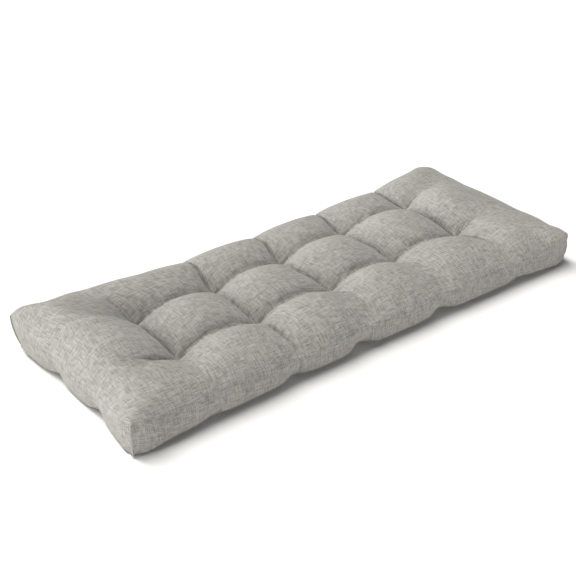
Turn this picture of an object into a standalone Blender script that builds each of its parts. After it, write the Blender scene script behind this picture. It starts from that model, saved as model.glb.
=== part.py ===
"""Bench cushion: one stuffed cover, tufted with two rows of five blind tacks, lying on its back.

+X runs along the length, +Y across the width and +Z up. The origin is under the middle of the cushion, on the
surface that it lies on. Lengths are in metres.

The cover is worked out as the skin of a box of cells: a lattice whose lines run close together along the tufted
valleys and round the shoulders, and wider over the puffs. The top, the walls and the base each have one
function that puts a lattice point in its place.
"""

import bpy
import numpy as np

# Sizes of the whole cushion
LENGTH = 1.216  # end to end over the corners, at the widest height of the walls
WIDTH = 0.490  # front to back over the corners, at the widest height of the walls
MIDDLE_CROWN = 0.117  # top of the puffs along the middle line
SIDE_CROWN = 0.100  # top of the puffs along the front and the back
END_CROWN = 0.104  # top of the puffs at the two ends
CORNER_CROWN = 0.102  # top of the puffs at the four corners

# Tufting: two rows of five tacks
TACK_COLUMNS = 5
COLUMN_PITCH = 0.201  # between tacks along the length
ROW_OFFSET = 0.083  # from the middle line out to each row of tacks
TACK_HEIGHT = 0.059  # floor of a tack's dimple above the surface
BASE_TACK_HEIGHT = 0.012  # how far the base is pulled up under a tack

# Valleys between the tacks, as shares of the depth of a dimple
TACK_SHARE = 0.50  # a valley where it meets a tack; the two valleys that cross there make the whole dimple
CROSS_MID_SHARE = 0.54  # the valley across the width, halfway between the two rows
LONG_MID_SHARE = 0.53  # the valley along the length, halfway between two tacks
CROSS_RIM_SHARE = 0.24  # the valley across the width, where it goes over the front or back shoulder
LONG_RIM_SHARE = 0.02  # the valley along the length, where it goes over an end shoulder
VALLEY_REACH_X = 0.100  # how far a puff slopes down to a valley across the width
VALLEY_REACH_Y = 0.083  # how far a puff slopes down to a valley along the length
PUFF_ROUNDNESS = 2.0  # larger makes flatter tops to the puffs
VALLEY_SHARPNESS = 0.85  # smaller makes steeper sides to the valleys

# Walls: they lean out from the base seam to the widest height, then turn over the shoulder
WALL_HEIGHT = 0.056  # widest height of the walls between the corners
CORNER_HEIGHT = 0.080  # top of the straight part of the corner seams
SHOULDER_DEPTH = 0.066  # from the widest outline in to the top of the shoulder
WALL_ROUNDNESS = 2.0  # section of the shoulders between the corners: 2 is an ellipse, more is squarer
CORNER_ROUNDNESS = 2.6  # section of the shoulders at the boxed corners
CORNER_REACH = 0.110  # how far the boxed shape of a corner reaches along each wall
CORNER_BLUNTING = 0.008  # how far the tip of a corner is rounded back, along X and along Y
BLUNT_REACH = 0.050  # how far that rounding reaches along each wall
SEAM_TURN = 0.040  # strip of base that curves up to the seam
DRAW_REACH = 0.140  # how far in from a wall the cloth follows that wall's drawing-in

SIDE_BOW = 2.5  # outline of the drawn-in front and back: 2 is an even bow, more is straighter
END_BOW = 2.0  # outline of the drawn-in ends
# One row for each wall: how far its middle is drawn in, and how far the base seam lies inside the widest outline
WALL_FIELDS = ("draw", "tuck")
WALLS = {
    "front": (0.011, 0.004),
    "back": (0.013, 0.009),
    "left": (0.009, 0.013),
    "right": (0.006, 0.013),
}

# Base seam: lifted off the surface, and pinched in under the ends of the valleys
SEAM_LIFT = 0.006  # between the pinches
CORNER_LIFT = 0.002  # at the corners
PINCH_WIDTH = 0.022  # half the width of a pinch
PINCH_REACH = 0.060  # how far in from a wall a pinch fades out
PINCH_FIELDS = ("depth", "lift")
PINCHES = {
    "sides": (0.012, 0.008),
    "ends": (0.010, 0.007),
}

# Lattice
PUFF_STEPS = 9  # lattice steps across a puff, tack to tack
OUTER_STEPS = 5  # lattice steps from the outer tacks to the shoulder
SHOULDER_STEPS = 4  # lattice steps over a shoulder
WALL_STEPS = 5  # lattice steps up a wall

CLOTH_COLOUR = (0.35, 0.34, 0.32, 1.0)
CLOTH_ROUGHNESS = 0.95
SHARP_ANGLE = 50.0  # degrees: only the seams are sharper than this

HALF_LENGTH = LENGTH / 2
HALF_WIDTH = WIDTH / 2
COLUMNS = [(i - (TACK_COLUMNS - 1) / 2) * COLUMN_PITCH for i in range(TACK_COLUMNS)]
ROWS = [-ROW_OFFSET, ROW_OFFSET]


def smooth(t):
    """0 below 0 and 1 above 1, with an even curve between."""
    t = min(max(t, 0.0), 1.0)
    return t * t * (3.0 - 2.0 * t)


def between(low, high, share):
    return low + (high - low) * share


def distance_to(value, places):
    return min(abs(value - place) for place in places)


def near_end(x, reach):
    """1 at the end walls, 0 from reach inwards."""
    return smooth(1.0 - (HALF_LENGTH - abs(x)) / reach)


def near_side(y, reach):
    """1 at the front and back walls, 0 from reach inwards."""
    return smooth(1.0 - (HALF_WIDTH - abs(y)) / reach)


def corner_share(x, y):
    """1 at the four corners, 0 away from them."""
    return near_end(x, CORNER_REACH) * near_side(y, CORNER_REACH)


def valley(distance, reach):
    """Depth of a valley at this distance from its line: 1 on the line, 0 past its reach."""
    inward = 1.0 - min(distance / reach, 1.0)
    return 1.0 - (1.0 - inward**PUFF_ROUNDNESS) ** VALLEY_SHARPNESS


def cross_share(y):
    """Share of a dimple's depth that a valley across the width has at y."""
    if abs(y) < ROW_OFFSET:
        return between(CROSS_MID_SHARE, TACK_SHARE, (y / ROW_OFFSET) ** 2)
    outward = (abs(y) - ROW_OFFSET) / (HALF_WIDTH - SHOULDER_DEPTH / 2 - ROW_OFFSET)
    return between(TACK_SHARE, CROSS_RIM_SHARE, smooth(outward))


def long_share(x):
    """Share of a dimple's depth that a valley along the length has at x."""
    last = COLUMNS[-1]
    if abs(x) < last:
        inward = 1.0 - distance_to(x, COLUMNS) / (COLUMN_PITCH / 2)
        return between(LONG_MID_SHARE, TACK_SHARE, inward**2)
    outward = (abs(x) - last) / (HALF_LENGTH - SHOULDER_DEPTH - last)
    return between(TACK_SHARE, LONG_RIM_SHARE, smooth(outward) ** 0.7)


def dimpling(x, y):
    """How far the valleys pull the cloth down: 0 on a puff and 1 on a tack."""
    across = cross_share(y) * valley(distance_to(x, COLUMNS), VALLEY_REACH_X)
    along = long_share(x) * valley(distance_to(y, ROWS), VALLEY_REACH_Y)
    return across + along


def crown(x, y):
    """Height of the puffs without their valleys."""
    end = near_end(x, COLUMN_PITCH)
    side = near_side(y, HALF_WIDTH)
    middle = between(MIDDLE_CROWN, END_CROWN, end)
    outer = between(SIDE_CROWN, CORNER_CROWN, end)
    return between(middle, outer, side)


def quarter_rise(edge_distance, depth, roundness):
    """Rise over a rounded edge: 0 at the wall, 1 from depth inwards."""
    inward = 1.0 - min(max(edge_distance / depth, 0.0), 1.0)
    return (1.0 - inward**roundness) ** (1.0 / roundness)


def rim_rise(x, y, depth, roundness):
    """Rise over the rounded edges all round: two of them meet in a mitre at a corner."""
    over_end = quarter_rise(HALF_LENGTH - abs(x), depth, roundness)
    over_side = quarter_rise(HALF_WIDTH - abs(y), depth, roundness)
    return over_end * over_side


def pinching(walls, x, y, field):
    """Depth or lift of the pinches of the end walls or the side walls at a place."""
    size = dict(zip(PINCH_FIELDS, PINCHES[walls]))[field]
    if walls == "sides":
        return size * near_side(y, PINCH_REACH) * np.exp(-((distance_to(x, COLUMNS) / PINCH_WIDTH) ** 2))
    return size * near_end(x, PINCH_REACH) * np.exp(-((distance_to(y, ROWS) / PINCH_WIDTH) ** 2))


def drawn_in(x, y, tuck_share):
    """The plan point (x, y) moved with the drawn-in walls. tuck_share is 1 at the seam, 0 at the widest height."""
    blunt = CORNER_BLUNTING * near_end(x, BLUNT_REACH) * near_side(y, BLUNT_REACH)
    end = dict(zip(WALL_FIELDS, WALLS["left" if x < 0 else "right"]))
    side = dict(zip(WALL_FIELDS, WALLS["front" if y < 0 else "back"]))
    end_in = end["draw"] * (1.0 - abs(y / HALF_WIDTH) ** END_BOW) + end["tuck"] * tuck_share
    side_in = side["draw"] * (1.0 - abs(x / HALF_LENGTH) ** SIDE_BOW) + side["tuck"] * tuck_share
    end_in = end_in * near_end(x, DRAW_REACH) + pinching("ends", x, y, "depth") + blunt
    side_in = side_in * near_side(y, DRAW_REACH) + pinching("sides", x, y, "depth") + blunt
    return x - np.sign(x) * end_in, y - np.sign(y) * side_in


def wall_height(x, y):
    return between(WALL_HEIGHT, CORNER_HEIGHT, corner_share(x, y))


def seam_height(x, y):
    """Height of the base seam above the surface."""
    low = between(SEAM_LIFT, CORNER_LIFT, corner_share(x, y))
    return low + pinching("sides", x, y, "lift") + pinching("ends", x, y, "lift")


def top_point(x, y):
    """The top cloth over the plan point (x, y)."""
    puffs = crown(x, y) - (MIDDLE_CROWN - TACK_HEIGHT) * dimpling(x, y)
    roundness = between(WALL_ROUNDNESS, CORNER_ROUNDNESS, corner_share(x, y))
    rise = rim_rise(x, y, SHOULDER_DEPTH, roundness)
    return (*drawn_in(x, y, 0.0), between(wall_height(x, y), puffs, rise))


def wall_point(x, y, rise):
    """The wall cloth at the outline point (x, y). rise is 0 at the base seam and 1 at the widest height."""
    lean = 1.0 - np.sin(rise * np.pi / 2)
    return (*drawn_in(x, y, lean), between(seam_height(x, y), wall_height(x, y), rise))


def base_point(x, y):
    """The base cloth over the plan point (x, y): flat under the puffs, pulled up at the tacks and the seam."""
    pulled_up = max(between(-BASE_TACK_HEIGHT / 2, BASE_TACK_HEIGHT, dimpling(x, y)), 0.0)
    rise = rim_rise(x, y, SEAM_TURN, WALL_ROUNDNESS)
    return (*drawn_in(x, y, 1.0), between(seam_height(x, y), pulled_up, rise))


def lattice_lines(tacks, half):
    """Lattice lines from wall to wall: shoulder, outer puff, a puff between each two tacks, and the same again."""
    shoulder_turn = np.linspace(0.0, np.pi / 2, SHOULDER_STEPS + 1)
    outer_turn = np.linspace(0.0, np.pi / 2, OUTER_STEPS + 1)
    puff_turn = np.linspace(0.0, np.pi, PUFF_STEPS + 1)
    inner = half - SHOULDER_DEPTH
    rim = half - SHOULDER_DEPTH * (1.0 - np.cos(shoulder_turn))
    outer = tacks[-1] + (inner - tacks[-1]) * (1.0 - np.cos(outer_turn))
    lines = [*-rim[:-1], *-outer[::-1]]
    for low, high in zip(tacks[:-1], tacks[1:]):
        lines += [*between(low, high, (1.0 - np.cos(puff_turn[1:])) / 2)]
    return np.array([*lines, *outer[1:], *rim[:-1][::-1]])


def cover_mesh():
    """The closed skin: lattice points on the six faces of a box of cells, joined by quads that face out."""
    xs = lattice_lines(COLUMNS, HALF_LENGTH)
    ys = lattice_lines(ROWS, HALF_WIDTH)
    nx, ny, nz = len(xs) - 1, len(ys) - 1, WALL_STEPS
    points = []
    index = {}

    def point(i, j, k):
        if (i, j, k) not in index:
            if k == nz:
                place = top_point(xs[i], ys[j])
            elif i in (0, nx) or j in (0, ny):
                place = wall_point(xs[i], ys[j], k / nz)
            else:
                place = base_point(xs[i], ys[j])
            index[i, j, k] = len(points)
            points.append(place)
        return index[i, j, k]

    faces = []
    for i in range(nx):
        for j in range(ny):
            faces.append([point(i, j, nz), point(i + 1, j, nz), point(i + 1, j + 1, nz), point(i, j + 1, nz)])
            faces.append([point(i, j, 0), point(i, j + 1, 0), point(i + 1, j + 1, 0), point(i + 1, j, 0)])
    for k in range(nz):
        for i in range(nx):
            faces.append([point(i, 0, k), point(i + 1, 0, k), point(i + 1, 0, k + 1), point(i, 0, k + 1)])
            faces.append([point(i + 1, ny, k), point(i, ny, k), point(i, ny, k + 1), point(i + 1, ny, k + 1)])
        for j in range(ny):
            faces.append([point(0, j + 1, k), point(0, j, k), point(0, j, k + 1), point(0, j + 1, k + 1)])
            faces.append([point(nx, j, k), point(nx, j + 1, k), point(nx, j + 1, k + 1), point(nx, j, k + 1)])
    points = np.array(points)
    points[:, :2] -= (points.min(axis=0) + points.max(axis=0))[:2] / 2  # the outline is centred on the origin
    mesh = bpy.data.meshes.new("cushion")
    mesh.from_pydata(points, [], faces)
    mesh.update()
    return mesh


def cloth_material():
    material = bpy.data.materials.new("heathered_linen_cloth")
    material.use_nodes = True
    shader = material.node_tree.nodes["Principled BSDF"]
    shader.inputs["Base Color"].default_value = CLOTH_COLOUR
    shader.inputs["Roughness"].default_value = CLOTH_ROUGHNESS
    shader.inputs["Metallic"].default_value = 0.0
    return material


def main():
    for obj in list(bpy.data.objects):
        bpy.data.objects.remove(obj)
    cushion = bpy.data.objects.new("cushion", cover_mesh())
    bpy.context.scene.collection.objects.link(cushion)
    cushion.data.materials.append(cloth_material())
    cushion.data.shade_smooth()
    cushion.data.set_sharp_from_angle(angle=np.radians(SHARP_ANGLE))


main()
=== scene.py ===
"""Bench cushion, finished: a heathered linen cover, filled and tufted with two rows of five blind tacks.

+X runs along the length, +Y across the width and +Z up, as in the frame. Lengths are in metres.

The cover is cut and sewn here as six panels of one lattice: top, base and four walls. The filling then
swells it as simulated cloth, held at the tacks, in the valleys and along the base. Last, pressed creases,
seams and small folds are worked into the finished mesh.
"""

import bpy
import numpy as np
from mathutils import Matrix, Vector, noise


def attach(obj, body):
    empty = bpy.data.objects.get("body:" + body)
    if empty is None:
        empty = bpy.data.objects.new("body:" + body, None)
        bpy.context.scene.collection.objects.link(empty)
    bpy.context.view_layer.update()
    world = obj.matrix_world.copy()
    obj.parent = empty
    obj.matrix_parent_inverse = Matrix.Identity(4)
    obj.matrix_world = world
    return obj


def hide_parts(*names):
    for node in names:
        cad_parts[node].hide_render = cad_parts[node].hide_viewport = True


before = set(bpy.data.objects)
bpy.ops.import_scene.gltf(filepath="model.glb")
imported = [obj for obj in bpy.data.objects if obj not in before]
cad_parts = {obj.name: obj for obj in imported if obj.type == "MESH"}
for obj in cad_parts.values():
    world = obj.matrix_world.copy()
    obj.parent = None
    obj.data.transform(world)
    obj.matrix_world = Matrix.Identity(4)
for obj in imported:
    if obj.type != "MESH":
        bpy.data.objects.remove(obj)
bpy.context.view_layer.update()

# The whole cushion, over its corners at the widest height of the walls, and the tops of its puffs
LENGTH = 1.216
WIDTH = 0.490
MIDDLE_CROWN = 0.118
FRONT_CROWN = 0.093
BACK_CROWN = 0.103
END_CROWN = 0.104
CORNER_CROWN = 0.102

# Tufting
TACK_COLUMNS = 5
COLUMN_PITCH = 0.201  # between tacks along the length
ROW_OFFSET = 0.083  # from the middle line out to each row of tacks
BASE_TACK_HEIGHT = 0.012  # how far the base is pulled up under a tack

# Uneven tufting, a row for each column of tacks from the left: how far its front and its back tack lie from
# an even grid, and how high above the floor they hold the cover
TACK_FIELDS = ("front_x", "front_y", "back_x", "back_y", "height")
TACKS = (
    (0.003, -0.004, 0.010, -0.006, 0.054),
    (0.002, 0.003, 0.006, -0.003, 0.055),
    (0.003, 0.008, -0.005, 0.006, 0.058),
    (-0.009, 0.015, -0.006, 0.025, 0.062),
    (-0.015, 0.011, 0.003, 0.031, 0.065),
)
# How far aside from the line through its tacks each valley across the width bows, a row for each column of
# tacks, at places across the width from front to back
BOW_PLACES = (-0.245, -0.190, -0.120, -0.083, 0.000, 0.083, 0.115, 0.160, 0.245)
BOWS = (
    (0.000, 0.000, 0.000, 0.000, -0.010, -0.002, -0.018, -0.050, -0.060),
    (0.000, -0.004, 0.002, 0.000, -0.014, 0.000, 0.000, 0.008, 0.018),
    (0.000, 0.002, 0.002, 0.000, -0.021, -0.001, 0.002, 0.012, 0.014),
    (0.000, 0.006, 0.004, 0.000, -0.018, -0.002, -0.004, 0.006, 0.010),
    (0.000, 0.022, 0.012, 0.000, -0.013, -0.003, -0.010, -0.006, 0.002),
)
# How far across the width the valleys of the front and the back row lead aside past the outer tacks
END_LEANS = {"left": (0.010, 0.020), "right": (0.016, 0.034)}
END_LEAN_RAMP = (0.75, 0.25)  # that lean goes back to none here, as a share of the way out to the wall
UNEVENNESS = 0.0018  # height of the lumps of the filling
LUMP_SIZE = 0.085

# Height of the filling above the even crown at places along the length, for the three rows of puffs
PUFF_ROWS = ("front", "middle", "back")
FULLNESS_PLACES = (-0.55, -0.40, -0.20, 0.00, 0.20, 0.40, 0.55)
FULLNESS = {
    "front": (-0.010, -0.001, -0.001, -0.002, -0.001, -0.006, 0.001),
    "middle": (0.003, -0.003, -0.004, -0.004, -0.003, -0.001, 0.010),
    "back": (0.012, 0.002, -0.005, -0.010, -0.019, -0.023, -0.002),
}

# Valleys between the tacks, as shares of the depth of a dimple
TACK_SHARE = 0.50
CROSS_MID_SHARES = (0.63, 0.54, 0.53, 0.55, 0.65)  # half way between the rows, one value for each column
LONG_MID_SHARE = 0.55
# The valley across the width where it goes over the front and the back shoulder, one value for each column
FRONT_RIM_SHARES = (0.12, 0.34, 0.32, 0.30, 0.10)
BACK_RIM_SHARES = (-0.03, 0.20, 0.26, 0.26, 0.24)
RIM_IN = 0.033  # how far in from the walls those shares are reached
BACK_FADES = (1.9, 1.2, 1.0, 1.0, 1.0)  # larger makes a valley shallower sooner behind its back tack
# The valleys along the length past the outer tacks, for the front and the back row: how far out they fade,
# and what is left of them there
END_FADES = {"left": (0.180, 0.120), "right": (0.170, 0.190)}
END_RIM_SHARES = {"left": (0.00, 0.00), "right": (0.10, 0.24)}
END_FADE_CURVE = 1.4  # larger keeps them deep for longer
# How far a valley stays creased in front of its front tack and behind its back one, a value for each column
CRISP_REACH_FRONT = (0.03, 0.15, 0.06, 0.06, 0.14)
CRISP_REACH_BACK = (0.08, 0.40, 0.40, 0.40, 0.40)
CRISP_REACH_ENDS = (0.150, 0.110)  # and past the outer tacks, left and right
CRISP_CURVE = 1.5  # larger keeps the valleys across the width creased for longer
VALLEY_REACH_X = 0.100  # how far a puff slopes down to a valley across the width
VALLEY_REACH_Y = 0.083  # how far a puff slopes down to a valley along the length
# For the valleys across the width and along the length: how round the puffs beside them are, and how blunt
# their bottoms, where less is steeper
CROSS_PROFILE = (1.9, 0.72)
LONG_PROFILE = (2.0, 0.94)
TROUGH_CURVE = 1.5  # larger makes the soft troughs narrower, where the valleys aren't creased

# Walls and shoulders
CORNER_HEIGHTS = (0.073, 0.080)  # of the walls at the front and the back corners
SHOULDER_ENDS = (0.070, 0.150)  # how far in from the left and the right wall the top turns over
SHOULDER_SIDES = (0.060, 0.072)  # the same for the front and the back wall
CORNER_SHOULDER = 0.035  # how much deeper those of the front and the back wall are at the ends
WALL_ROUNDNESS = 2.0  # section of the shoulders: 2 is an ellipse, more is squarer
END_ROUNDNESS = (2.0, 1.5)  # the same at the left and the right wall
CORNER_ROUNDNESS = 2.8  # and at the boxed corners
CORNER_REACH = 0.110  # how far the boxed shape of a corner reaches along each wall
CORNER_BLUNTING = 0.010  # how far the tip of a corner is rounded back, along X and along Y
BASE_BLUNTING = 0.013  # the same down at the base seam
BLUNT_REACH = 0.050  # how far that rounding reaches along each wall
SEAM_TURN = 0.060  # strip of base that curves up to the seam
SEAM_ROUNDNESS = 1.35
DRAW_REACH = 0.140  # how far in from a wall the cloth follows that wall's drawing-in
SIDE_BOW = 2.5  # larger keeps the front and the back wall straight for longer
END_BOW = 2.0  # the same for the left and the right wall
LEAN_CURVE = 2.2  # how the walls curve under: larger keeps them upright for longer
CORNER_TUCKS = (0.05, 1.10)  # share of the tuck at the front and the back corners
# For each wall: how far it is drawn in between its corners, how far its base tucks under, and the height at
# which it stands out most
WALL_FIELDS = ("draw", "tuck", "height")
WALLS = {
    "front": (0.011, 0.000, 0.050),
    "back": (0.013, 0.008, 0.056),
    "left": (0.015, 0.009, 0.056),
    "right": (0.006, 0.013, 0.076),
}

# Base seam and its pinches. For each pinch: its place along the wall and its share of the full depth
SEAM_LIFTS = (0.002, 0.014)  # height of the seam above the floor, along the ends and along the sides
CORNER_LIFT = 0.002  # the same at the corners
PINCH_WIDTH = 0.028
PINCH_REACH = 0.060  # how far in from the wall the cloth follows a pinch
PINCH_DEPTH = 0.015
PINCH_LIFT = 0.006
PINCH_TOP_SHARE = 0.22  # share of a pinch's depth left at the widest height of the walls
PINCHES = {
    "front": ((-0.415, 0.40), (-0.213, 0.80), (-0.034, 1.20), (0.194, 1.00), (0.438, 0.45)),
    "back": ((-0.402, 0.80), (-0.215, 1.00), (0.005, 1.00), (0.204, 1.00), (0.388, 1.00)),
    "left": ((-0.086, 1.00), (0.076, 0.85)),
    "right": ((-0.070, 0.80), (0.110, 0.85)),
}

# A place on the cover has a level: from -1 on the flat of the base to 0 at its seam, on to 1 at the top of
# the walls and to 2 on the flat of the top. A pair is the level where a change starts, and how far it runs
HOLD_LEVELS = (1.4, 0.5)  # the valleys are held
CAP_LEVELS = (1.3, 0.7)  # the cap on the swelling grows from the walls' to the top's
PRESS_LEVELS = (1.25, 0.5)  # the creases are pressed
CORNER_SEAM_LEVELS = (1.0, 0.5)  # the corner seams fade out
TACK_LEVEL = 1.2  # the tacks hold the cover above this

# Swelling: the cover starts a little inside its shape, and its cloth is cut a little larger
DEFLATION = 0.008
CLOTH_EASE = 0.03
PRESSURE = 9.0
SWELL_FRAMES = 20
SWELL_CAP_TOP = 0.005  # how far the swollen cover may leave its cut shape
SWELL_CAP_WALL = 0.0025
TACK_HOLD = 0.006  # how far from a tack or a valley the cover is held
CREASE_HOLD = 0.7  # how firmly the valleys are held, where 1 is fixed
LONG_HOLD = 0.4  # share of that for the valleys along the length
LEAST_HOLD = 0.02  # points held less than this are free
LEAST_MOVE = 1e-9  # stands for no move, so that nothing is divided by 0
CLOTH_SETTINGS = {
    "quality": 5,
    "mass": 0.3,
    "tension_stiffness": 15,
    "compression_stiffness": 15,
    "shear_stiffness": 5,
    "bending_stiffness": 0.5,
}

# Creases: the puffs press together over a crisp valley
CREASE_CLOSING = 0.0015  # how far each side closes in
CREASE_REACH = 0.0045  # how far out it does so most
CREASE_DEPTH = 0.010  # how much deeper the valley gets
CREASE_WIDTH = 0.0032
CREASE_CURVE = 1.5  # larger gives the crease a flatter floor and steeper sides
# How firm the creases along the length are half way between the tacks, where 1 is fully pressed, and past
# the outer tacks, for the front and the back row
LONG_FIRMNESS = 0.00
END_FIRMNESS = {"left": (0.55, 0.60), "right": (0.15, 0.15)}
TACK_REACH = 0.020  # how far from a tack all creases are firmer
TACK_RELIEF = 0.85  # share of the pressing that is missing at the tack itself, where the pocket is deep
CROSS_FIRMNESS = {  # how firm those across the width are, one value for each column
    "front": (0.3, 0.8, 0.4, 0.3, 0.9),
    "middle": (1.0, 0.5, 0.6, 0.6, 1.0),
    "back": (0.4, 1.0, 1.0, 1.0, 1.0),
}

# Seams: a groove with a lip on each side, and small gathers above the base seam
SEAM_GROOVE = 0.0016
SEAM_WIDTH = 0.0018
SEAM_LIP = 0.0007
LIP_PLACE = 0.0048
NO_SEAM = 1.0  # distance to the base seam that stands for none near
PUCKER_SIZE = 0.011
PUCKER_LENGTHENING = 0.3  # smaller makes the gathers longer up the wall
PUCKER_DEPTH = 0.0007
PUCKER_REACH = 0.014

# Small folds, one row each: where its middle is along the length and across the width, counted on down the
# front wall, its direction in degrees from the length, half length, half width and height
FOLD_FIELDS = ("x", "y", "turn", "reach", "width", "height")
FOLDS = (
    (-0.196, -0.150, 98, 0.045, 0.0045, 0.0026),
    (-0.184, -0.165, 104, 0.040, 0.0045, 0.0022),
    (-0.204, -0.235, 90, 0.050, 0.0026, -0.0030),
    (-0.213, -0.262, 86, 0.036, 0.0036, 0.0026),
    (-0.195, -0.250, 94, 0.040, 0.0036, 0.0028),
    (0.006, -0.225, 84, 0.036, 0.0050, 0.0024),
    (-0.008, -0.232, 92, 0.034, 0.0045, 0.0022),
    (-0.034, -0.262, 84, 0.030, 0.0050, 0.0024),
    (0.188, -0.255, 94, 0.032, 0.0055, 0.0022),
    (0.206, -0.240, 86, 0.030, 0.0050, 0.0020),
    (0.438, -0.250, 94, 0.028, 0.0055, 0.0016),
    (-0.415, -0.252, 88, 0.024, 0.0050, 0.0014),
    (-0.470, 0.062, 4, 0.060, 0.0140, 0.0050),
)

# Lattice: steps between the tacks, from the outer tacks to the shoulders, over a shoulder and up a wall
PUFF_STEPS_X = 24
PUFF_STEPS_Y = 20
OUTER_STEPS_X = 16
OUTER_STEPS_Y = 14
SHOULDER_STEPS = 10
WALL_STEPS = 9
SEAM_CROWDING = 1.6  # larger crowds those up a wall towards its base seam
CREASE_CROWDING = 0.8  # and this those between the tacks towards the creases

HALF_LENGTH = LENGTH / 2
HALF_WIDTH = WIDTH / 2
COLUMNS = [(i - (TACK_COLUMNS - 1) / 2) * COLUMN_PITCH for i in range(TACK_COLUMNS)]
ROWS = [-ROW_OFFSET, ROW_OFFSET]

# Cloth: a plain weave of uneven heathered threads. Tones are shares of the range from the dark to the light
# thread, and they are worth 0 at the middle of it
THREAD_PITCH = 0.0012
THREAD_HEIGHT = 0.0004
THREAD_TONE = 2.1
THREAD_TONE_LENGTH = 0.021
THREAD_STEP = 7.31  # how far apart neighbouring threads lie in the noise, so that their tones differ
THREAD_DRIFT = 0.8  # how far a thread wanders aside, in threads
THREAD_DRIFT_LENGTH = 0.060
THREAD_DRIFT_WIDTH = 0.020
SEEDS = {"warp": 0.0, "weft": 9.0}
DRIFT_SEED = 3.0
SLUB_TONE = 0.6
SLUB_WIDTH = 0.0016
SLUB_LENGTH = 0.036
UPPER_TONE = 0.5  # share of a spot's tone from the thread on top there
BOTH_TONE = 0.5  # and from both threads
FLECK_TONE = 0.4
FLECK_SIZE = 0.0024
CLOUD_TONE = 0.12
CLOUD_SIZE = 0.12
CREASE_SHADE_TONE = 0.45  # painted shade: how much darker the cloth is painted along the pressed creases, where shade falls in them
MIDDLE_TONE = 0.5
DARK_THREAD = (0.202, 0.198, 0.183, 1.0)
LIGHT_THREAD = (0.495, 0.487, 0.455, 1.0)
# Height of the cloth, in shares: the thread on top, the crossing under it, and the thicker, lighter threads
UPPER_HEIGHT = 0.6
CROSSING_HEIGHT = 0.4
SLUB_HEIGHT = 0.5
BUMP_STRENGTH = 0.6
ROUGHNESS = 0.93
ROUGHNESS_BY_TONE = -0.1
SHEEN = 0.15
SPECULAR = 0.25

# Floor
FLOOR_HALF = 6.0
FLOOR_DROP = 0.0002  # below the cushion, so that the two don't coincide
FLOOR_COLOUR = (0.97, 0.97, 0.97, 1.0)
FLOOR_ROUGHNESS = 0.9

# Light: a weak even room, and soft lamps far off. A row for each lamp: the direction it shines from, how
# wide it looks in degrees, and its strength
WORLD_STRENGTH = 0.06
BACKDROP_STRENGTH = 1.0  # how bright the room looks behind the floor
LAMPS = {
    "high key": ((-0.13, 0.13, 0.98), 20.0, 1.08),
    "key": ((-0.15, 0.37, 0.92), 20.0, 1.20),
    "low key": ((-0.17, 0.59, 0.79), 22.0, 1.00),
    "back": ((-0.25, 0.90, 0.36), 60.0, 0.75),
    "left": ((-0.96, 0.14, 0.10), 28.0, 2.75),
    "front": ((0.10, -0.99, 0.04), 28.0, 1.60),
}
LAMP_DISTANCE = 2.8
LAMP_COLOUR = (1.0, 0.985, 0.96)

# Camera, from the photo's corners, tacks and outline
CAMERA_LENS = 71.9
CAMERA_SENSOR = 36.0
CAMERA_AZIMUTH = -38.26
CAMERA_ELEVATION = 30.23
CAMERA_DISTANCE = 2.519
CAMERA_TARGET = Vector((-0.0492, 0.0077, 0.05))


def smooth(t):
    """0 below 0 and 1 above 1, with an even curve between."""
    t = np.clip(t, 0.0, 1.0)
    return t * t * (3.0 - 2.0 * t)


def ramp(value, start_and_run):
    """0 before the start and 1 after the run, with an even curve between."""
    start, run = start_and_run
    return smooth((value - start) / run)


def between(low, high, share):
    return low + (high - low) * share


def distance_to(value, places):
    return np.min([np.abs(value - place) for place in places], axis=0)


def near_end(x, reach):
    """1 at the end walls, 0 from reach inwards."""
    return smooth(1.0 - (HALF_LENGTH - np.abs(x)) / reach)


def near_side(y, reach):
    """1 at the front and back walls, 0 from reach inwards."""
    return smooth(1.0 - (HALF_WIDTH - np.abs(y)) / reach)


def corner_share(x, y):
    return near_end(x, CORNER_REACH) * near_side(y, CORNER_REACH)


def valley(distance, reach, crispness, profile):
    """Depth of a valley at this distance from its line: creased for a crispness of 1, a trough for 0."""
    roundness, bluntness = profile
    inward = 1.0 - np.minimum(distance / reach, 1.0)
    creased = 1.0 - (1.0 - inward**roundness) ** bluntness
    soft = smooth(inward) ** TROUGH_CURVE
    return between(soft, creased, crispness)


def by_column(values, x):
    """The value of the nearest column of tacks."""
    column = np.round(x / COLUMN_PITCH).astype(int) + TACK_COLUMNS // 2
    return np.array(values)[np.clip(column, 0, TACK_COLUMNS - 1)]


def cross_share(x, y):
    """Depth of the valleys across the width along their bottoms."""
    inner = between(by_column(CROSS_MID_SHARES, x), TACK_SHARE, (y / ROW_OFFSET) ** 2)
    outward = (np.abs(y) - ROW_OFFSET) / (HALF_WIDTH - RIM_IN - ROW_OFFSET)
    outward = outward * np.where(y < 0, 1.0, by_column(BACK_FADES, x))
    rim = np.where(y < 0, by_column(FRONT_RIM_SHARES, x), by_column(BACK_RIM_SHARES, x))
    outer = between(TACK_SHARE, rim, smooth(outward))
    return np.where(np.abs(y) < ROW_OFFSET, inner, outer)


def by_end_and_row(values, x, y):
    """The value of the nearest end and row."""
    return np.where(x < 0, np.where(y < 0, *values["left"]), np.where(y < 0, *values["right"]))


def long_share(x, y):
    """Depth of the valleys along the length along their bottoms."""
    last = COLUMNS[-1]
    inward = 1.0 - distance_to(x, COLUMNS) / (COLUMN_PITCH / 2)
    inner = between(LONG_MID_SHARE, TACK_SHARE, inward**2)
    faded = smooth((np.abs(x) - last) / by_end_and_row(END_FADES, x, y)) ** END_FADE_CURVE
    outer = between(TACK_SHARE, by_end_and_row(END_RIM_SHARES, x, y), faded)
    return np.where(np.abs(x) < last, inner, outer)


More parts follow.
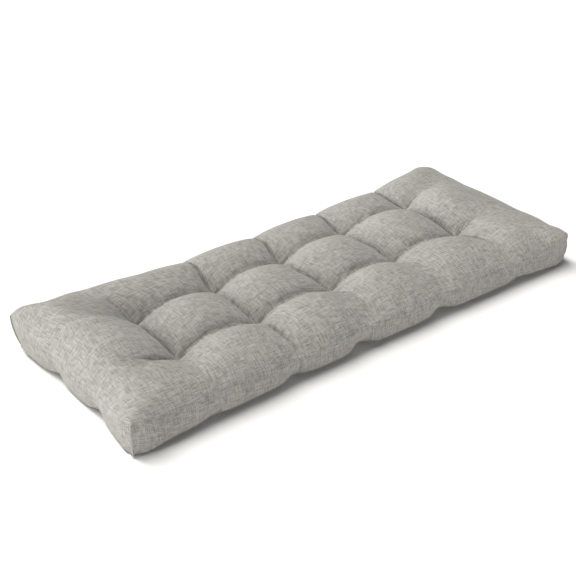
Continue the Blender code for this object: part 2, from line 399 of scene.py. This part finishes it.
def cross_crispness(x, y):
    """1 where a valley across the width is creased, and 0 where it is a soft trough."""
    reach = np.where(y < 0, by_column(CRISP_REACH_FRONT, x), by_column(CRISP_REACH_BACK, x))
    return 1.0 - smooth((np.abs(y) - ROW_OFFSET) / reach) ** CRISP_CURVE


def long_crispness(x):
    """The same for the valleys along the length."""
    return 1.0 - smooth((np.abs(x) - COLUMNS[-1]) / np.where(x < 0, *CRISP_REACH_ENDS))


def dimpling(x, y):
    """How deep the tufting pulls the cover in, where 1 is the whole depth of a tack's dimple."""
    across = valley(distance_to(x, COLUMNS), VALLEY_REACH_X, cross_crispness(x, y), CROSS_PROFILE)
    along = valley(distance_to(y, ROWS), VALLEY_REACH_Y, long_crispness(x), LONG_PROFILE)
    return cross_share(x, y) * across + long_share(x, y) * along


def crown(x, y):
    """Height of the filling before the tacks pull it in. It slants down to the front between the ends."""
    end = near_end(x, COLUMN_PITCH)
    side = np.where(y < 0, near_side(y, HALF_WIDTH - ROW_OFFSET), near_side(y, HALF_WIDTH))
    middle = between(MIDDLE_CROWN, END_CROWN, end)
    outer = between(np.where(y < 0, FRONT_CROWN, BACK_CROWN), CORNER_CROWN, end)
    return between(middle, outer, side)


def quarter_rise(edge_distance, depth, roundness):
    """0 at an edge, and 1 from this depth inwards, along a quarter of a rounded section."""
    inward = 1.0 - np.clip(edge_distance / depth, 0.0, 1.0)
    return (1.0 - inward**roundness) ** (1.0 / roundness)


def rim_rise(x, y, depth, roundness):
    """0 at the walls, and 1 from this depth inwards."""
    over_end = quarter_rise(HALF_LENGTH - np.abs(x), depth, roundness)
    over_side = quarter_rise(HALF_WIDTH - np.abs(y), depth, roundness)
    return over_end * over_side


def shoulder_rise(x, y):
    """0 at the walls, and 1 from the shoulders inwards."""
    boxy = corner_share(x, y)
    end_roundness = between(np.where(x < 0, *END_ROUNDNESS), CORNER_ROUNDNESS, boxy)
    over_end = quarter_rise(HALF_LENGTH - np.abs(x), np.where(x < 0, *SHOULDER_ENDS), end_roundness)
    side_roundness = between(WALL_ROUNDNESS, CORNER_ROUNDNESS, boxy)
    depth = np.where(y < 0, *SHOULDER_SIDES) + CORNER_SHOULDER * near_end(x, COLUMN_PITCH)
    over_side = quarter_rise(HALF_WIDTH - np.abs(y), depth, side_roundness)
    return over_end * over_side


def pinching(low_wall, high_wall, along, across, fade):
    """Share of a full pinch at a place on one of two opposite walls."""
    walls = []
    for wall in (low_wall, high_wall):
        table = PINCHES[wall]
        walls.append(sum(share * np.exp(-(((along - place) / PINCH_WIDTH) ** 2)) for place, share in table))
    return fade * np.where(across < 0, *walls)


def side_pinching(x, y):
    return pinching("front", "back", x, y, near_side(y, PINCH_REACH))


def end_pinching(x, y):
    return pinching("left", "right", y, x, near_end(x, PINCH_REACH))


def wall_value(low_wall, high_wall, across, field):
    """A field of the wall table, for the nearer one of two opposite walls."""
    sizes = [dict(zip(WALL_FIELDS, WALLS[wall]))[field] for wall in (low_wall, high_wall)]
    return np.where(across < 0, *sizes)


def drawn_in(x, y, tuck_share):
    """Where a place on the plan lies once the walls are drawn in, and tucked under by this share."""
    blunt = between(CORNER_BLUNTING, BASE_BLUNTING, tuck_share)
    blunt = blunt * near_end(x, BLUNT_REACH) * near_side(y, BLUNT_REACH)
    pinch_depth = PINCH_DEPTH * between(PINCH_TOP_SHARE, 1.0, tuck_share)
    tuck_share = tuck_share * between(1.0, np.where(y < 0, *CORNER_TUCKS), corner_share(x, y))
    end_in = wall_value("left", "right", x, "draw") * (1.0 - np.abs(y / HALF_WIDTH) ** END_BOW)
    side_in = wall_value("front", "back", y, "draw") * (1.0 - np.abs(x / HALF_LENGTH) ** SIDE_BOW)
    end_in = end_in + wall_value("left", "right", x, "tuck") * tuck_share
    side_in = side_in + wall_value("front", "back", y, "tuck") * tuck_share
    end_in = end_in * near_end(x, DRAW_REACH) + pinch_depth * end_pinching(x, y) + blunt
    side_in = side_in * near_side(y, DRAW_REACH) + pinch_depth * side_pinching(x, y) + blunt
    return x - np.sign(x) * end_in, y - np.sign(y) * side_in


def wall_height(x, y):
    """Height at which a wall stands out most."""
    side, end = wall_value("front", "back", y, "height"), wall_value("left", "right", x, "height")
    height = between(side, end, near_end(x, DRAW_REACH) * (1.0 - near_side(y, CORNER_REACH)))
    return between(height, np.where(y < 0, *CORNER_HEIGHTS), corner_share(x, y))


def seam_height(x, y):
    """Height of the base seam above the floor."""
    low = between(SEAM_LIFTS[0], SEAM_LIFTS[1], near_side(y, CORNER_REACH))
    low = between(low, CORNER_LIFT, corner_share(x, y))
    return low + PINCH_LIFT * (side_pinching(x, y) + end_pinching(x, y))


def by_tack(x, field):
    """A field of the tack table, evened out between the columns."""
    return np.interp(x, COLUMNS, [dict(zip(TACK_FIELDS, tack))[field] for tack in TACKS])


def tack_shift(x, y, axis):
    """How far the uneven tufting pulls the cover along this axis."""
    back = np.clip(y / (2.0 * ROW_OFFSET) + 0.5, 0.0, 1.0)
    return between(by_tack(x, "front_" + axis), by_tack(x, "back_" + axis), back)


def valley_lean(x, y):
    """How far the valleys lead aside: along X those across the width, along Y those past the outer tacks."""
    bows = np.array([np.interp(y, BOW_PLACES, bow) for bow in BOWS])
    place = np.clip((x - COLUMNS[0]) / COLUMN_PITCH, 0.0, TACK_COLUMNS - 1.0)
    before = np.minimum(place.astype(int), TACK_COLUMNS - 2)
    values = [np.take_along_axis(bows, column[None], axis=0)[0] for column in (before, before + 1)]
    lean_x = between(*values, place - before) * (1.0 - near_end(x, COLUMN_PITCH))
    past = np.clip((np.abs(x) - COLUMNS[-1]) / (HALF_LENGTH - COLUMNS[-1]), 0.0, 1.0)
    lean_y = np.where(x < 0, np.interp(y, ROWS, END_LEANS["left"]), np.interp(y, ROWS, END_LEANS["right"]))
    lean_y = lean_y * past * (1.0 - near_side(y, ROW_OFFSET)) * (1.0 - ramp(past, END_LEAN_RAMP))
    return lean_x, lean_y


def fullness(x, y):
    """Height of the filling above the even crown."""
    front, middle, back = (np.interp(x, FULLNESS_PLACES, FULLNESS[row]) for row in PUFF_ROWS)
    towards_back, towards_front = smooth(y / (2.0 * ROW_OFFSET)), smooth(-y / (2.0 * ROW_OFFSET))
    return middle + (back - middle) * towards_back + (front - middle) * towards_front


def top_points(x, y):
    """Points of the top panel: the filling's crown, dimpled, over shoulders that come down to the walls."""
    full = fullness(x, y)
    puffs = crown(x, y) + full - (MIDDLE_CROWN + full - by_tack(x, "height")) * dimpling(x, y)
    rise = shoulder_rise(x, y)
    plan_x, plan_y = drawn_in(x, y, 0.0)
    inside = smooth(rim_rise(x, y, COLUMN_PITCH / 2, WALL_ROUNDNESS))
    lean_x, lean_y = valley_lean(x, y)
    plan_x = plan_x + inside * tack_shift(x, y, "x") + lean_x
    plan_y = plan_y + inside * tack_shift(x, y, "y") + lean_y
    return np.stack([plan_x, plan_y, between(wall_height(x, y), puffs, rise)], axis=-1)


def wall_points(x, y, rise):
    """Points of the walls, at this share of the way up from the base seam."""
    lean = (1.0 - rise) ** LEAN_CURVE
    height = between(seam_height(x, y), wall_height(x, y), rise)
    return np.stack([*drawn_in(x, y, lean), height], axis=-1)


def base_points(x, y):
    """Points of the base panel: flat between the tacks, and pulled up at them and towards its seam."""
    pulled_up = np.maximum(between(-BASE_TACK_HEIGHT / 2, BASE_TACK_HEIGHT, dimpling(x, y)), 0.0)
    rise = rim_rise(x, y, SEAM_TURN, SEAM_ROUNDNESS)
    return np.stack([*drawn_in(x, y, 1.0), between(seam_height(x, y), pulled_up, rise)], axis=-1)


def crowded(steps, reach):
    """Values from 0 to 1 that crowd towards 0, and towards 1 too where reach is 1."""
    t = np.linspace(0.0, reach, steps + 1)
    return (t - CREASE_CROWDING * np.sin(2.0 * np.pi * t) / (2.0 * np.pi)) / reach


def lattice_lines(tacks, half, shoulders, puff_steps, outer_steps):
    """Places of the lattice lines along one axis: close at the creases and where the cover turns over."""
    turn = 1.0 - np.cos(np.linspace(0.0, np.pi / 2, SHOULDER_STEPS + 1))
    outer = []
    for shoulder in shoulders:
        over_shoulder = half - shoulder * turn[:-1]
        to_tack = between(tacks[-1], half - shoulder, crowded(outer_steps, 0.5))[::-1]
        outer.append(np.array([*over_shoulder, *to_tack]))
    low, high = outer
    lines = [*-low]
    for start, end in zip(tacks[:-1], tacks[1:]):
        lines += [*between(start, end, crowded(puff_steps, 1.0)[1:])]
    return np.array([*lines, *high[::-1][1:]])


class Cover:
    """The lattice of the cover: numbered points on the skin of a box of cells, and its six panels."""

    def __init__(self):
        xs = lattice_lines(COLUMNS, HALF_LENGTH, SHOULDER_ENDS, PUFF_STEPS_X, OUTER_STEPS_X)
        ys = lattice_lines(ROWS, HALF_WIDTH, SHOULDER_SIDES, PUFF_STEPS_Y, OUTER_STEPS_Y)
        self.nx, self.ny, self.nz = len(xs) - 1, len(ys) - 1, WALL_STEPS
        i, j, k = np.indices((self.nx + 1, self.ny + 1, self.nz + 1))
        on_wall = (i == 0) | (i == self.nx) | (j == 0) | (j == self.ny)
        skin = on_wall | (k == 0) | (k == self.nz)
        self.number = np.full(skin.shape, -1)
        self.number[skin] = np.arange(skin.sum())
        x, y, k, on_wall = xs[i[skin]], ys[j[skin]], k[skin], on_wall[skin]
        top = (k == self.nz)[:, None]
        wall = on_wall[:, None]
        rise = (k / self.nz) ** SEAM_CROWDING
        lower = np.where(wall, wall_points(x, y, rise), base_points(x, y))
        self.points = np.where(top, top_points(x, y), lower)
        middle = (self.points.min(axis=0) + self.points.max(axis=0)) / 2
        self.points[:, :2] -= middle[:2]
        level = np.where(top[:, 0], 1.0 + shoulder_rise(x, y), rise)
        level = np.where((k == 0) & ~on_wall, -rim_rise(x, y, SEAM_TURN, WALL_ROUNDNESS), level)
        self.plan = np.stack([x, y, level], axis=-1)

    def panels(self):
        """Each panel as a grid of point numbers, turned so that its faces look out."""
        n = self.number
        return {
            "top": n[:, :, self.nz],
            "base": n[:, :, 0].T,
            "front": n[:, 0, :],
            "back": n[:, self.ny, :].T,
            "left": n[0, :, :].T,
            "right": n[self.nx, :, :],
        }


def arc_lengths(points, axis):
    """Length along the cloth from the first line of a panel to each line, along one axis of its grid."""
    steps = np.linalg.norm(np.diff(points, axis=axis), axis=-1)
    start = np.zeros_like(np.take(steps, [0], axis=axis))
    return np.concatenate([start, np.cumsum(steps, axis=axis)], axis=axis)


def evened(lengths, anchors, axis):
    """Arc lengths stretched between the anchor lines, so that each anchor line is one straight thread."""
    lengths = np.moveaxis(lengths, axis, 0)
    out = np.empty_like(lengths)
    for low, high in zip(anchors[:-1], anchors[1:]):
        part = lengths[low:high + 1]
        share = (part - part[0]) / (part[-1] - part[0])
        out[low:high + 1] = lengths[low].mean() + share * (lengths[high].mean() - lengths[low].mean())
    return np.moveaxis(out - out[len(out) // 2].mean(), 0, axis)


def cloth_places(cover, points):
    """Where each panel point lies on the flat cloth: threads run on from the top down each wall."""
    grids = cover.panels()
    anchors_x = [0, *(SHOULDER_STEPS + OUTER_STEPS_X + PUFF_STEPS_X * np.arange(TACK_COLUMNS)), cover.nx]
    anchors_y = [0, *(SHOULDER_STEPS + OUTER_STEPS_Y + PUFF_STEPS_Y * np.arange(len(ROWS))), cover.ny]
    top = points[cover.number[:, :, cover.nz]]
    u = evened(arc_lengths(top, 0), anchors_x, 0)
    v = evened(arc_lengths(top, 1), anchors_y, 1)

    def down(i, j):
        """Length down a wall from its widest height to each of its points."""
        column = points[cover.number[i, j, ::-1]]
        return arc_lengths(column, 1)[:, ::-1]

    full = slice(None)
    front, back = down(full, 0), down(full, cover.ny)
    left, right = down(0, full), down(cover.nx, full)
    rows = {
        "top": (u, v),
        "front": (u[:, [0]] + 0 * front, v[:, [0]] - front),
        "back": ((u[:, [-1]] + 0 * back).T, (v[:, [-1]] + back).T),
        "left": ((u[0][:, None] - left).T, (v[0][:, None] + 0 * left).T),
        "right": (u[-1][:, None] + right, v[-1][:, None] + 0 * right),
    }
    base = points[cover.number[:, :, 0]]
    rows["base"] = (arc_lengths(base, 0).T, arc_lengths(base, 1).T)
    return {name: np.stack(rows[name], axis=-1) for name in grids}


def sewn_mesh(cover):
    """The six panels as one closed mesh of quads, with each corner's place on the flat cloth."""
    places = cloth_places(cover, cover.points)
    faces, corners = [], []
    for name, grid in cover.panels().items():
        ring = (grid[:-1, :-1], grid[1:, :-1], grid[1:, 1:], grid[:-1, 1:])
        place = places[name]
        place_ring = (place[:-1, :-1], place[1:, :-1], place[1:, 1:], place[:-1, 1:])
        faces.append(np.stack(ring, axis=-1).reshape(-1, 4))
        corners.append(np.stack(place_ring, axis=-2).reshape(-1, 4, 2))
    faces, corners = np.concatenate(faces), np.concatenate(corners)
    mesh = bpy.data.meshes.new("cushion_cover")
    mesh.from_pydata(cover.points, [], faces.tolist())
    plan = mesh.attributes.new("plan", "FLOAT_VECTOR", "POINT")
    plan.data.foreach_set("vector", cover.plan.ravel())
    place = mesh.attributes.new("cloth_place", "FLOAT_VECTOR", "CORNER")
    place.data.foreach_set("vector", np.pad(corners.reshape(-1, 2), ((0, 0), (0, 1))).ravel())
    mesh.update()
    return mesh


def vertex_vectors(mesh, field):
    values = np.empty(len(mesh.vertices) * 3)
    mesh.vertices.foreach_get(field, values)
    return values.reshape(-1, 3)


def point_vectors(mesh, name):
    values = np.empty(len(mesh.vertices) * 3)
    mesh.attributes[name].data.foreach_get("vector", values)
    return values.reshape(-1, 3)


def lumps(points, size):
    """Smooth noise from -1 to 1 that rises and falls over about this size."""
    return np.array([noise.noise(Vector(point / size)) for point in points])


def held_weights(cover):
    """How firmly each point is held as the filling swells: on the base, at the tacks and in the valleys."""
    x, y, level = cover.plan.T
    tack_distance = np.hypot(distance_to(x, COLUMNS), distance_to(y, ROWS))
    tacks = np.exp(-((tack_distance / TACK_HOLD) ** 2))
    across = np.exp(-((distance_to(x, COLUMNS) / TACK_HOLD) ** 2)) * cross_crispness(x, y)
    along = LONG_HOLD * np.exp(-((distance_to(y, ROWS) / TACK_HOLD) ** 2)) * long_crispness(x)
    valleys = CREASE_HOLD * ramp(level, HOLD_LEVELS) * np.maximum(across, along)
    return np.where(level <= 0.0, 1.0, np.maximum(tacks * (level > TACK_LEVEL), valleys))


def swell(piece, cover):
    """The filling swells the cover as cloth that is a little larger than its shape, so that it gathers."""
    mesh = piece.data
    target = vertex_vectors(mesh, "co")
    held = held_weights(cover)
    inset = DEFLATION - UNEVENNESS * lumps(target, LUMP_SIZE)
    start = target - vertex_vectors(mesh, "normal") * (inset * (1.0 - held))[:, None]
    mesh.vertices.foreach_set("co", start.ravel())
    mesh.update()
    group = piece.vertex_groups.new(name="held")
    for point in np.flatnonzero(held > LEAST_HOLD):
        group.add([int(point)], float(held[point]), "REPLACE")
    cloth = piece.modifiers.new("filling", "CLOTH")
    settings = cloth.settings
    for name, value in CLOTH_SETTINGS.items():
        setattr(settings, name, value)
    settings.use_pressure = True
    settings.uniform_pressure_force = PRESSURE
    settings.shrink_min = settings.shrink_max = -CLOTH_EASE
    settings.effector_weights.gravity = 0.0
    settings.vertex_group_mass = group.name
    cloth.collision_settings.use_self_collision = False
    for step in range(1, SWELL_FRAMES + 1):
        bpy.context.scene.frame_set(step)
    graph = bpy.context.evaluated_depsgraph_get()
    swollen = vertex_vectors(piece.evaluated_get(graph).data, "co")
    moved = swollen - target
    cap = between(SWELL_CAP_WALL, SWELL_CAP_TOP, ramp(cover.plan[:, 2], CAP_LEVELS))
    distance = np.maximum(np.linalg.norm(moved, axis=1), LEAST_MOVE)
    moved *= (cap * np.tanh(distance / cap) / distance)[:, None]
    piece.modifiers.clear()
    piece.vertex_groups.clear()
    bpy.context.scene.frame_set(1)
    mesh.vertices.foreach_set("co", (target + moved).ravel())
    mesh.update()


def fold_height(x, down, fold):
    """Height of one small fold: a ridge that fades along its length."""
    turn = np.radians(fold["turn"])
    along = (x - fold["x"]) * np.cos(turn) + (down - fold["y"]) * np.sin(turn)
    across = (down - fold["y"]) * np.cos(turn) - (x - fold["x"]) * np.sin(turn)
    return fold["height"] * np.exp(-((along / fold["reach"]) ** 2) - (across / fold["width"]) ** 2)


def crease_shift(offset, firmness):
    """How far the cloth beside a crease closes in over it."""
    distance = np.abs(offset) / CREASE_REACH
    return -np.sign(offset) * CREASE_CLOSING * distance * np.exp(1.0 - distance) * firmness


def nearest_offset(value, places):
    """How far a value lies past the nearest one of these places, below 0 where it lies before it."""
    offsets = np.array([value - place for place in places])
    return np.take_along_axis(offsets, np.abs(offsets).argmin(axis=0)[None], axis=0)[0]


def press_creases(mesh):
    """Press the puffs together over the crisp valleys and draw the cloth down there. Gives how firmly, which
    the material also uses to paint shade along the creases.
    """
    x, y, level = point_vectors(mesh, "plan").T
    points = vertex_vectors(mesh, "co")
    on_top = ramp(level, PRESS_LEVELS)
    across, along = nearest_offset(x, COLUMNS), nearest_offset(y, ROWS)
    near_tack = np.exp(-((across / TACK_REACH) ** 2))
    near_row = np.exp(-((along / TACK_REACH) ** 2))
    front, middle, back = (by_column(CROSS_FIRMNESS[row], x) for row in PUFF_ROWS)
    cross_firm = np.where(y < -ROW_OFFSET, front, np.where(y < ROW_OFFSET, middle, back))
    cross_firm = on_top * cross_crispness(x, y) * np.maximum(cross_firm, near_row)
    past_end = (np.abs(x) > COLUMNS[-1]) * by_end_and_row(END_FIRMNESS, x, y)
    long_firm = on_top * long_crispness(x) * np.maximum(between(LONG_FIRMNESS, 1.0, near_tack), past_end)
    points[:, 0] += crease_shift(across, cross_firm)
    points[:, 1] += crease_shift(along, long_firm)
    drawn = [np.exp(-np.abs(offset / CREASE_WIDTH) ** CREASE_CURVE) * firm
             for offset, firm in ((across, cross_firm), (along, long_firm))]
    pressed = np.maximum(*drawn) * (1.0 - TACK_RELIEF * near_tack * near_row)
    points[:, 2] -= CREASE_DEPTH * pressed
    mesh.vertices.foreach_set("co", points.ravel())
    mesh.update()
    return pressed


def sew(mesh):
    """Seams down the four corners and around the base, gathers above the base seam, and the small folds."""
    x, y, level = point_vectors(mesh, "plan").T
    points, normals = vertex_vectors(mesh, "co"), vertex_vectors(mesh, "normal")
    wall = np.clip(level, 0.0, 1.0)
    height = wall * wall_height(x, y)
    over_end, over_side = HALF_LENGTH - np.abs(x), HALF_WIDTH - np.abs(y)
    corner_distance = np.hypot(over_end, over_side)
    on_corner = (level >= 0.0) * (1.0 - ramp(level, CORNER_SEAM_LEVELS))
    base_distance = np.where(level < 0.0, np.minimum(over_end, over_side), height)
    base_distance = np.where(level > 1.0, NO_SEAM, base_distance)
    rise = np.zeros(len(points))
    for distance, share in ((corner_distance, on_corner), (base_distance, 1.0)):
        groove = SEAM_GROOVE * np.exp(-((distance / SEAM_WIDTH) ** 2))
        lip = SEAM_LIP * np.exp(-(((distance - LIP_PLACE) / SEAM_WIDTH) ** 2))
        rise += share * (lip - groove)
    gathers = lumps(np.stack([x, y, PUCKER_LENGTHENING * height], axis=-1), PUCKER_SIZE)
    rise += PUCKER_DEPTH * gathers * np.exp(-base_distance / PUCKER_REACH)
    down = np.where(y < 0, y - np.maximum(1.0 - level, 0.0) * wall_height(x, y), y)
    for fold in FOLDS:
        rise += (level > 0.0) * fold_height(x, down, dict(zip(FOLD_FIELDS, fold)))
    mesh.vertices.foreach_set("co", (points + normals * rise[:, None]).ravel())
    mesh.update()


def cushion_cover():
    """The finished cover: cut, sewn, filled and tufted."""
    cover = Cover()
    piece = bpy.data.objects.new("cushion_cover", sewn_mesh(cover))
    bpy.context.scene.collection.objects.link(piece)
    piece.data.materials.append(heathered_linen())
    swell(piece, cover)
    smoothing = piece.modifiers.new("finer", "SUBSURF")
    smoothing.levels = smoothing.render_levels = 1
    graph = bpy.context.evaluated_depsgraph_get()
    finer = bpy.data.meshes.new_from_object(piece.evaluated_get(graph))
    piece.modifiers.clear()
    piece.data = finer
    pressed = press_creases(finer)
    sew(finer)
    # How firmly each point is pressed, kept for the material to paint shade along the creases
    crease_shade_mask = finer.attributes.new("pressed", "FLOAT", "POINT")
    crease_shade_mask.data.foreach_set("value", pressed)
    finer.shade_smooth()
    return piece


# Sockets of a Mix node, by number, because several of them share a name
MIX_SHARE = 0
MIX_FIRST_COLOUR = 6
MIX_SECOND_COLOUR = 7
MIX_COLOUR = 2


class Wiring:
    """Adds nodes to one tree. Each call returns the socket that carries its result."""

    def __init__(self, tree):
        self.tree = tree

    def add(self, kind, values, output=0, **settings):
        node = self.tree.nodes.new(kind)
        for name, setting in settings.items():
            setattr(node, name, setting)
        for name, value in values.items():
            if isinstance(value, bpy.types.NodeSocket):
                self.tree.links.new(value, node.inputs[name])
            else:
                node.inputs[name].default_value = value
        return node.outputs[output]

    def math(self, operation, *values):
        return self.add("ShaderNodeMath", dict(enumerate(values)), operation=operation)

    def vector(self, x, y, z=0.0):
        return self.add("ShaderNodeCombineXYZ", {"X": x, "Y": y, "Z": z})

    def scaled(self, vector, scale):
        return self.add("ShaderNodeVectorMath", {"Vector": vector, "Scale": scale}, operation="SCALE")

    def cloudy(self, vector, detail=2.0, roughness=0.6):
        """Soft noise around 0, about 0.4 either way."""
        values = {"Vector": vector, "Scale": 1.0, "Detail": detail, "Roughness": roughness}
        return self.math("SUBTRACT", self.add("ShaderNodeTexNoise", values, "Fac"), 0.5)

    def total(self, *weighted):
        """Sum of values, each times its weight."""
        result = 0.0
        for value, weight in weighted:
            result = self.math("MULTIPLY_ADD", value, weight, result)
        return result


def weave_group():
    """Plain weave of uneven threads: its tone and its height at a place on the cloth, in metres."""
    group = bpy.data.node_groups.new("linen_weave", "ShaderNodeTree")
    sockets = (
        ("Place", "NodeSocketVector", "INPUT"),
        ("Pitch", "NodeSocketFloat", "INPUT"),
        ("Tone", "NodeSocketFloat", "OUTPUT"),
        ("Height", "NodeSocketFloat", "OUTPUT"),
    )
    for name, kind, way in sockets:
        group.interface.new_socket(name, in_out=way, socket_type=kind)
    start, end = group.nodes.new("NodeGroupInput"), group.nodes.new("NodeGroupOutput")
    w = Wiring(group)
    place, pitch = start.outputs["Place"], start.outputs["Pitch"]
    split = group.nodes.new("ShaderNodeSeparateXYZ")
    group.links.new(place, split.inputs["Vector"])
    x, y = split.outputs["X"], split.outputs["Y"]
    index, round_, tone = {}, {}, {}
    for name, across, along in (("warp", x, y), ("weft", y, x)):
        seed = SEEDS[name]
        drift_along = w.math("DIVIDE", along, THREAD_DRIFT_LENGTH)
        drift_across = w.math("DIVIDE", across, THREAD_DRIFT_WIDTH)
        drift = w.cloudy(w.vector(drift_along, drift_across, seed + DRIFT_SEED), detail=1.0)
        place_across = w.math("MULTIPLY_ADD", drift, THREAD_DRIFT, w.math("DIVIDE", across, pitch))
        index[name] = w.math("FLOOR", place_across)
        round_[name] = w.math("SINE", w.math("MULTIPLY", w.math("FRACT", place_across), np.pi))
        thread = w.cloudy(w.vector(w.math("MULTIPLY", index[name], THREAD_STEP),
                                   w.math("DIVIDE", along, THREAD_TONE_LENGTH), seed), detail=1.0)
        slub = w.cloudy(w.vector(w.math("DIVIDE", across, SLUB_WIDTH),
                                 w.math("DIVIDE", along, SLUB_LENGTH), seed))
        tone[name] = w.total((thread, THREAD_TONE), (slub, SLUB_TONE))
    parity = w.math("FLOORED_MODULO", w.math("ADD", index["warp"], index["weft"]), 2.0)
    flat = w.math("MULTIPLY_ADD", parity, w.math("SUBTRACT", tone["warp"], tone["weft"]), tone["weft"])
    both = w.math("ADD", tone["warp"], tone["weft"])
    fleck = w.cloudy(w.scaled(place, 1.0 / FLECK_SIZE), detail=3.0)
    group.links.new(w.total((flat, UPPER_TONE), (both, BOTH_TONE), (fleck, FLECK_TONE)), end.inputs["Tone"])
    over = w.math("MULTIPLY_ADD", parity, w.math("SUBTRACT", round_["warp"], round_["weft"]), round_["weft"])
    under = w.math("MULTIPLY", round_["warp"], round_["weft"])
    height = w.total((over, UPPER_HEIGHT), (under, CROSSING_HEIGHT), (both, SLUB_HEIGHT))
    group.links.new(height, end.inputs["Height"])
    return group


def heathered_linen():
    """Material of the cover: the weave over slow clouds of tone, with painted shade darkening it along the
    pressed creases.
    """
    material = bpy.data.materials.new("heathered_linen")
    material.use_nodes = True
    tree = material.node_tree
    shader = tree.nodes["Principled BSDF"]
    w = Wiring(tree)
    place = w.add("ShaderNodeAttribute", {}, "Vector", attribute_name="cloth_place")
    # Where the creases are pressed, used below to paint shade along them
    pressed = w.add("ShaderNodeAttribute", {}, "Fac", attribute_name="pressed")
    weave = tree.nodes.new("ShaderNodeGroup")
    weave.node_tree = weave_group()
    tree.links.new(place, weave.inputs["Place"])
    weave.inputs["Pitch"].default_value = THREAD_PITCH
    cloud = w.cloudy(w.scaled(place, 1.0 / CLOUD_SIZE))
    # Painted shade: the tone is darkened along the pressed creases, where shade falls in them
    tone = w.total((weave.outputs["Tone"], 1.0), (cloud, CLOUD_TONE), (pressed, -CREASE_SHADE_TONE))
    share = w.math("ADD", tone, MIDDLE_TONE)
    colours = {MIX_SHARE: share, MIX_FIRST_COLOUR: DARK_THREAD, MIX_SECOND_COLOUR: LIGHT_THREAD}
    shade = w.add("ShaderNodeMix", colours, MIX_COLOUR, data_type="RGBA")
    tree.links.new(shade, shader.inputs["Base Color"])
    rough = w.math("MULTIPLY_ADD", weave.outputs["Tone"], ROUGHNESS_BY_TONE, ROUGHNESS)
    tree.links.new(rough, shader.inputs["Roughness"])
    relief = {"Strength": BUMP_STRENGTH, "Distance": THREAD_HEIGHT, "Height": weave.outputs["Height"]}
    tree.links.new(w.add("ShaderNodeBump", relief), shader.inputs["Normal"])
    shader.inputs["Sheen Weight"].default_value = SHEEN
    shader.inputs["Specular IOR Level"].default_value = SPECULAR
    return material


def studio_floor():
    mesh = bpy.data.meshes.new("floor")
    corners = [(FLOOR_HALF * x, FLOOR_HALF * y, 0.0) for x, y in ((-1, -1), (1, -1), (1, 1), (-1, 1))]
    mesh.from_pydata(corners, [], [(0, 1, 2, 3)])
    floor = bpy.data.objects.new("floor", mesh)
    floor.location.z = -FLOOR_DROP
    bpy.context.scene.collection.objects.link(floor)
    material = bpy.data.materials.new("white_floor")
    material.use_nodes = True
    shader = material.node_tree.nodes["Principled BSDF"]
    shader.inputs["Base Color"].default_value = FLOOR_COLOUR
    shader.inputs["Roughness"].default_value = FLOOR_ROUGHNESS
    shader.inputs["Specular IOR Level"].default_value = 0.0
    floor.data.materials.append(material)


def studio_light():
    world = bpy.data.worlds.new("studio")
    bpy.context.scene.world = world
    world.use_nodes = True
    background = world.node_tree.nodes["Background"]
    background.inputs["Color"].default_value = (1.0, 1.0, 1.0, 1)
    w = Wiring(world.node_tree)
    seen = w.add("ShaderNodeLightPath", {}, "Is Camera Ray")
    brightness = w.math("MULTIPLY_ADD", seen, BACKDROP_STRENGTH - WORLD_STRENGTH, WORLD_STRENGTH)
    world.node_tree.links.new(brightness, background.inputs["Strength"])
    for name, (direction, spread, strength) in LAMPS.items():
        light = bpy.data.lights.new(name, "SUN")
        light.angle = np.radians(spread)
        light.energy = strength
        light.color = LAMP_COLOUR
        lamp = bpy.data.objects.new(name, light)
        towards = Vector(direction).normalized()
        lamp.location = towards * LAMP_DISTANCE
        lamp.rotation_euler = towards.to_track_quat("Z", "Y").to_euler()
        bpy.context.scene.collection.objects.link(lamp)


def photo_camera():
    """Camera at the photo's angle, in front of the cushion and to its left."""
    azimuth, elevation = np.radians(CAMERA_AZIMUTH), np.radians(CAMERA_ELEVATION)
    level = np.cos(elevation)
    back = Vector((np.sin(azimuth) * level, -np.cos(azimuth) * level, np.sin(elevation)))
    right = Vector((np.cos(azimuth), np.sin(azimuth), 0.0))
    up = back.cross(right)
    camera = bpy.data.objects.new("camera", bpy.data.cameras.new("camera"))
    camera.data.lens = CAMERA_LENS
    camera.data.sensor_width = CAMERA_SENSOR
    place = CAMERA_TARGET + back * CAMERA_DISTANCE
    camera.matrix_world = Matrix((right, up, back)).transposed().to_4x4()
    camera.matrix_world.translation = place
    bpy.context.scene.collection.objects.link(camera)
    bpy.context.scene.camera = camera


bpy.context.scene.view_settings.view_transform = "Standard"
photo_camera()
studio_light()
studio_floor()
cover_piece = cushion_cover()
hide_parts("cushion")
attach(cover_piece, "root")
